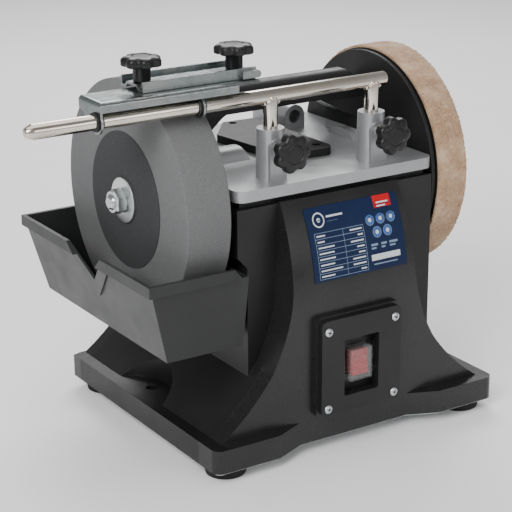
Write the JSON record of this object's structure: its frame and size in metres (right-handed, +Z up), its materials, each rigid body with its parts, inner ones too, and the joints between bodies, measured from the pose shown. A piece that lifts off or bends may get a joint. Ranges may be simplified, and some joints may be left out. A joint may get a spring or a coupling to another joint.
{
  "type": "wet grinding sharpener",
  "caption": "Water-cooled bench sharpener: slow grinding wheel dipping in a trough, leather honing wheel, support bar with clamp jig, carry handle.",
  "frame": {"origin": "centre of the bounding box's bottom face, on the bench under the rubber feet", "axes": "+Z up, -Y the front with the switch, the shaft along X with the grinding wheel at -X"},
  "size_m": [0.407, 0.2496, 0.335],
  "materials": {
    "black_plastic": "satin moulded",
    "fascia_plastic": "semi-gloss moulded",
    "plated_sheet": "zinc plated sheet",
    "rubber": "matte",
    "zinc_fixings": "bright zinc",
    "cast_silver": "silver coated casting",
    "bush_plastic": "plain",
    "tool_bar": "nickel plated",
    "shaft_steel": "stainless",
    "stone": "sintered abrasive grit",
    "paper": "dark paper disc",
    "drum_plastic": "moulded",
    "leather": "tan, suede side out",
    "laminations": "stacked sheet",
    "copper": "enamelled copper",
    "motor_casting": "cast",
    "roller_rubber": "knurled",
    "capacitor_case": "moulded",
    "knob_plastic": "moulded",
    "jig_steel": "zinc plated pressing",
    "trough_plastic": "moulded",
    "switch_red": "moulded",
    "clear_cover": "clear soft plastic",
    "label_blue": "printed foil"
  },
  "bodies": {
    "machine": {"housing": "black_plastic", "front_fascia": "fascia_plastic", "rear_fascia": "fascia_plastic", "cable_gland": "rubber", "bottom_plate": "plated_sheet", "rubber_feet": "rubber", "foot_screws": "zinc_fixings", "tie_bolts": "zinc_fixings", "top_plate": "cast_silver", "shaft_bush_left": "bush_plastic", "shaft_bush_right": "bush_plastic", "centre_cover": "black_plastic", "cover_screws": "zinc_fixings", "carry_handle": "black_plastic", "handle_bolts": "zinc_fixings", "drum_shield": "drum_plastic", "motor_hanger": "plated_sheet", "motor_hinge_pin": "shaft_steel", "run_capacitor": "capacitor_case", "switch_plate": "black_plastic", "switch_plate_screws": "zinc_fixings", "switch_frame": "black_plastic", "switch_cover": "clear_cover", "data_plate": "label_blue"},
    "wheels": {"wheel_shaft": "shaft_steel", "grinding_wheel": "stone", "paper_washers": "paper", "flange_washers": "zinc_fixings", "shaft_spacers": "bush_plastic", "arbor_nut": "zinc_fixings", "honing_drum": "drum_plastic", "leather_tyre": "leather", "honing_washer": "zinc_fixings", "honing_nut": "zinc_fixings"},
    "motor": {"stator_core": "laminations", "stator_windings": "copper", "motor_end_shields": "motor_casting", "motor_bearings": "shaft_steel", "motor_cradle": "plated_sheet"},
    "rotor": {"motor_shaft": "shaft_steel", "rotor_core": "laminations", "cooling_fan": "bush_plastic", "drive_roller": "roller_rubber"},
    "support_bar": {"support_bar": "tool_bar"},
    "lock_left": {"lock_stud_left": "zinc_fixings", "lock_knob_left": "knob_plastic"},
    "lock_right": {"lock_stud_right": "zinc_fixings", "lock_knob_right": "knob_plastic"},
    "jig_carrier": {"bar_bushes": "drum_plastic"},
    "jig": {"jig_base": "jig_steel", "jig_studs": "zinc_fixings"},
    "clamp": {"jig_clamp": "jig_steel"},
    "jig_knob_left": {"jig_knob_left": "knob_plastic"},
    "jig_knob_right": {"jig_knob_right": "knob_plastic"},
    "trough": {"water_trough": "trough_plastic"},
    "rocker": {"switch_rocker": "switch_red"}
  },
  "joints": [
    {"name": "wheel_spin", "type": "hinge", "parent": "machine", "child": "wheels", "pos_m": [0.061, 0.00975, 0.205], "axis": [1, 0, 0], "continuous": true},
    {"name": "motor_swing", "type": "hinge", "parent": "machine", "child": "motor", "pos_m": [0.061, 0.07975, 0.168], "axis": [-1, 0, 0], "range_deg": [0, 3]},
    {"name": "rotor_spin", "type": "hinge", "parent": "motor", "child": "rotor", "pos_m": [0.061, 0.00975, 0.1311], "axis": [1, 0, 0], "continuous": true},
    {"name": "bar_slide", "type": "slide", "parent": "machine", "child": "support_bar", "axis": [0, 0, 1], "range_m": [-0.005, 0.055]},
    {"name": "lock_knob_left_turn", "type": "hinge", "parent": "machine", "child": "lock_left", "pos_m": [0.011, -0.08925, 0.253], "axis": [0, -1, 0], "range_deg": [0, 540]},
    {"name": "lock_knob_right_turn", "type": "hinge", "parent": "machine", "child": "lock_right", "pos_m": [0.111, -0.08925, 0.253], "axis": [0, -1, 0], "range_deg": [0, 540]},
    {"name": "jig_slide", "type": "slide", "parent": "support_bar", "child": "jig_carrier", "axis": [1, 0, 0], "range_m": [-0.045, 0.045]},
    {"name": "jig_swing", "type": "hinge", "parent": "jig_carrier", "child": "jig", "pos_m": [-0.099, -0.06225, 0.2938], "axis": [1, 0, 0], "range_deg": [0, 70]},
    {"name": "clamp_lift", "type": "slide", "parent": "jig", "child": "clamp", "axis": [0, 0, 1], "range_m": [0, 0.005]},
    {"name": "jig_knob_left_turn", "type": "hinge", "parent": "clamp", "child": "jig_knob_left", "pos_m": [-0.094, -0.04225, 0.33], "axis": [0, 0, 1], "range_deg": [0, 720]},
    {"name": "jig_knob_right_turn", "type": "hinge", "parent": "clamp", "child": "jig_knob_right", "pos_m": [-0.0105, -0.04225, 0.33], "axis": [0, 0, 1], "range_deg": [0, 720]},
    {"name": "trough_slide", "type": "slide", "parent": "machine", "child": "trough", "axis": [0, 0, -1], "range_m": [0, 0.034]},
    {"name": "rocker_tilt", "type": "hinge", "parent": "machine", "child": "rocker", "pos_m": [0.061, -0.10925, 0.07275], "axis": [1, 0, 0], "range_deg": [0, 10]}
  ],
  "couplings": [
    {"joint": "rotor_spin", "follows": "wheel_spin", "ratio": 6.3}
  ]
}
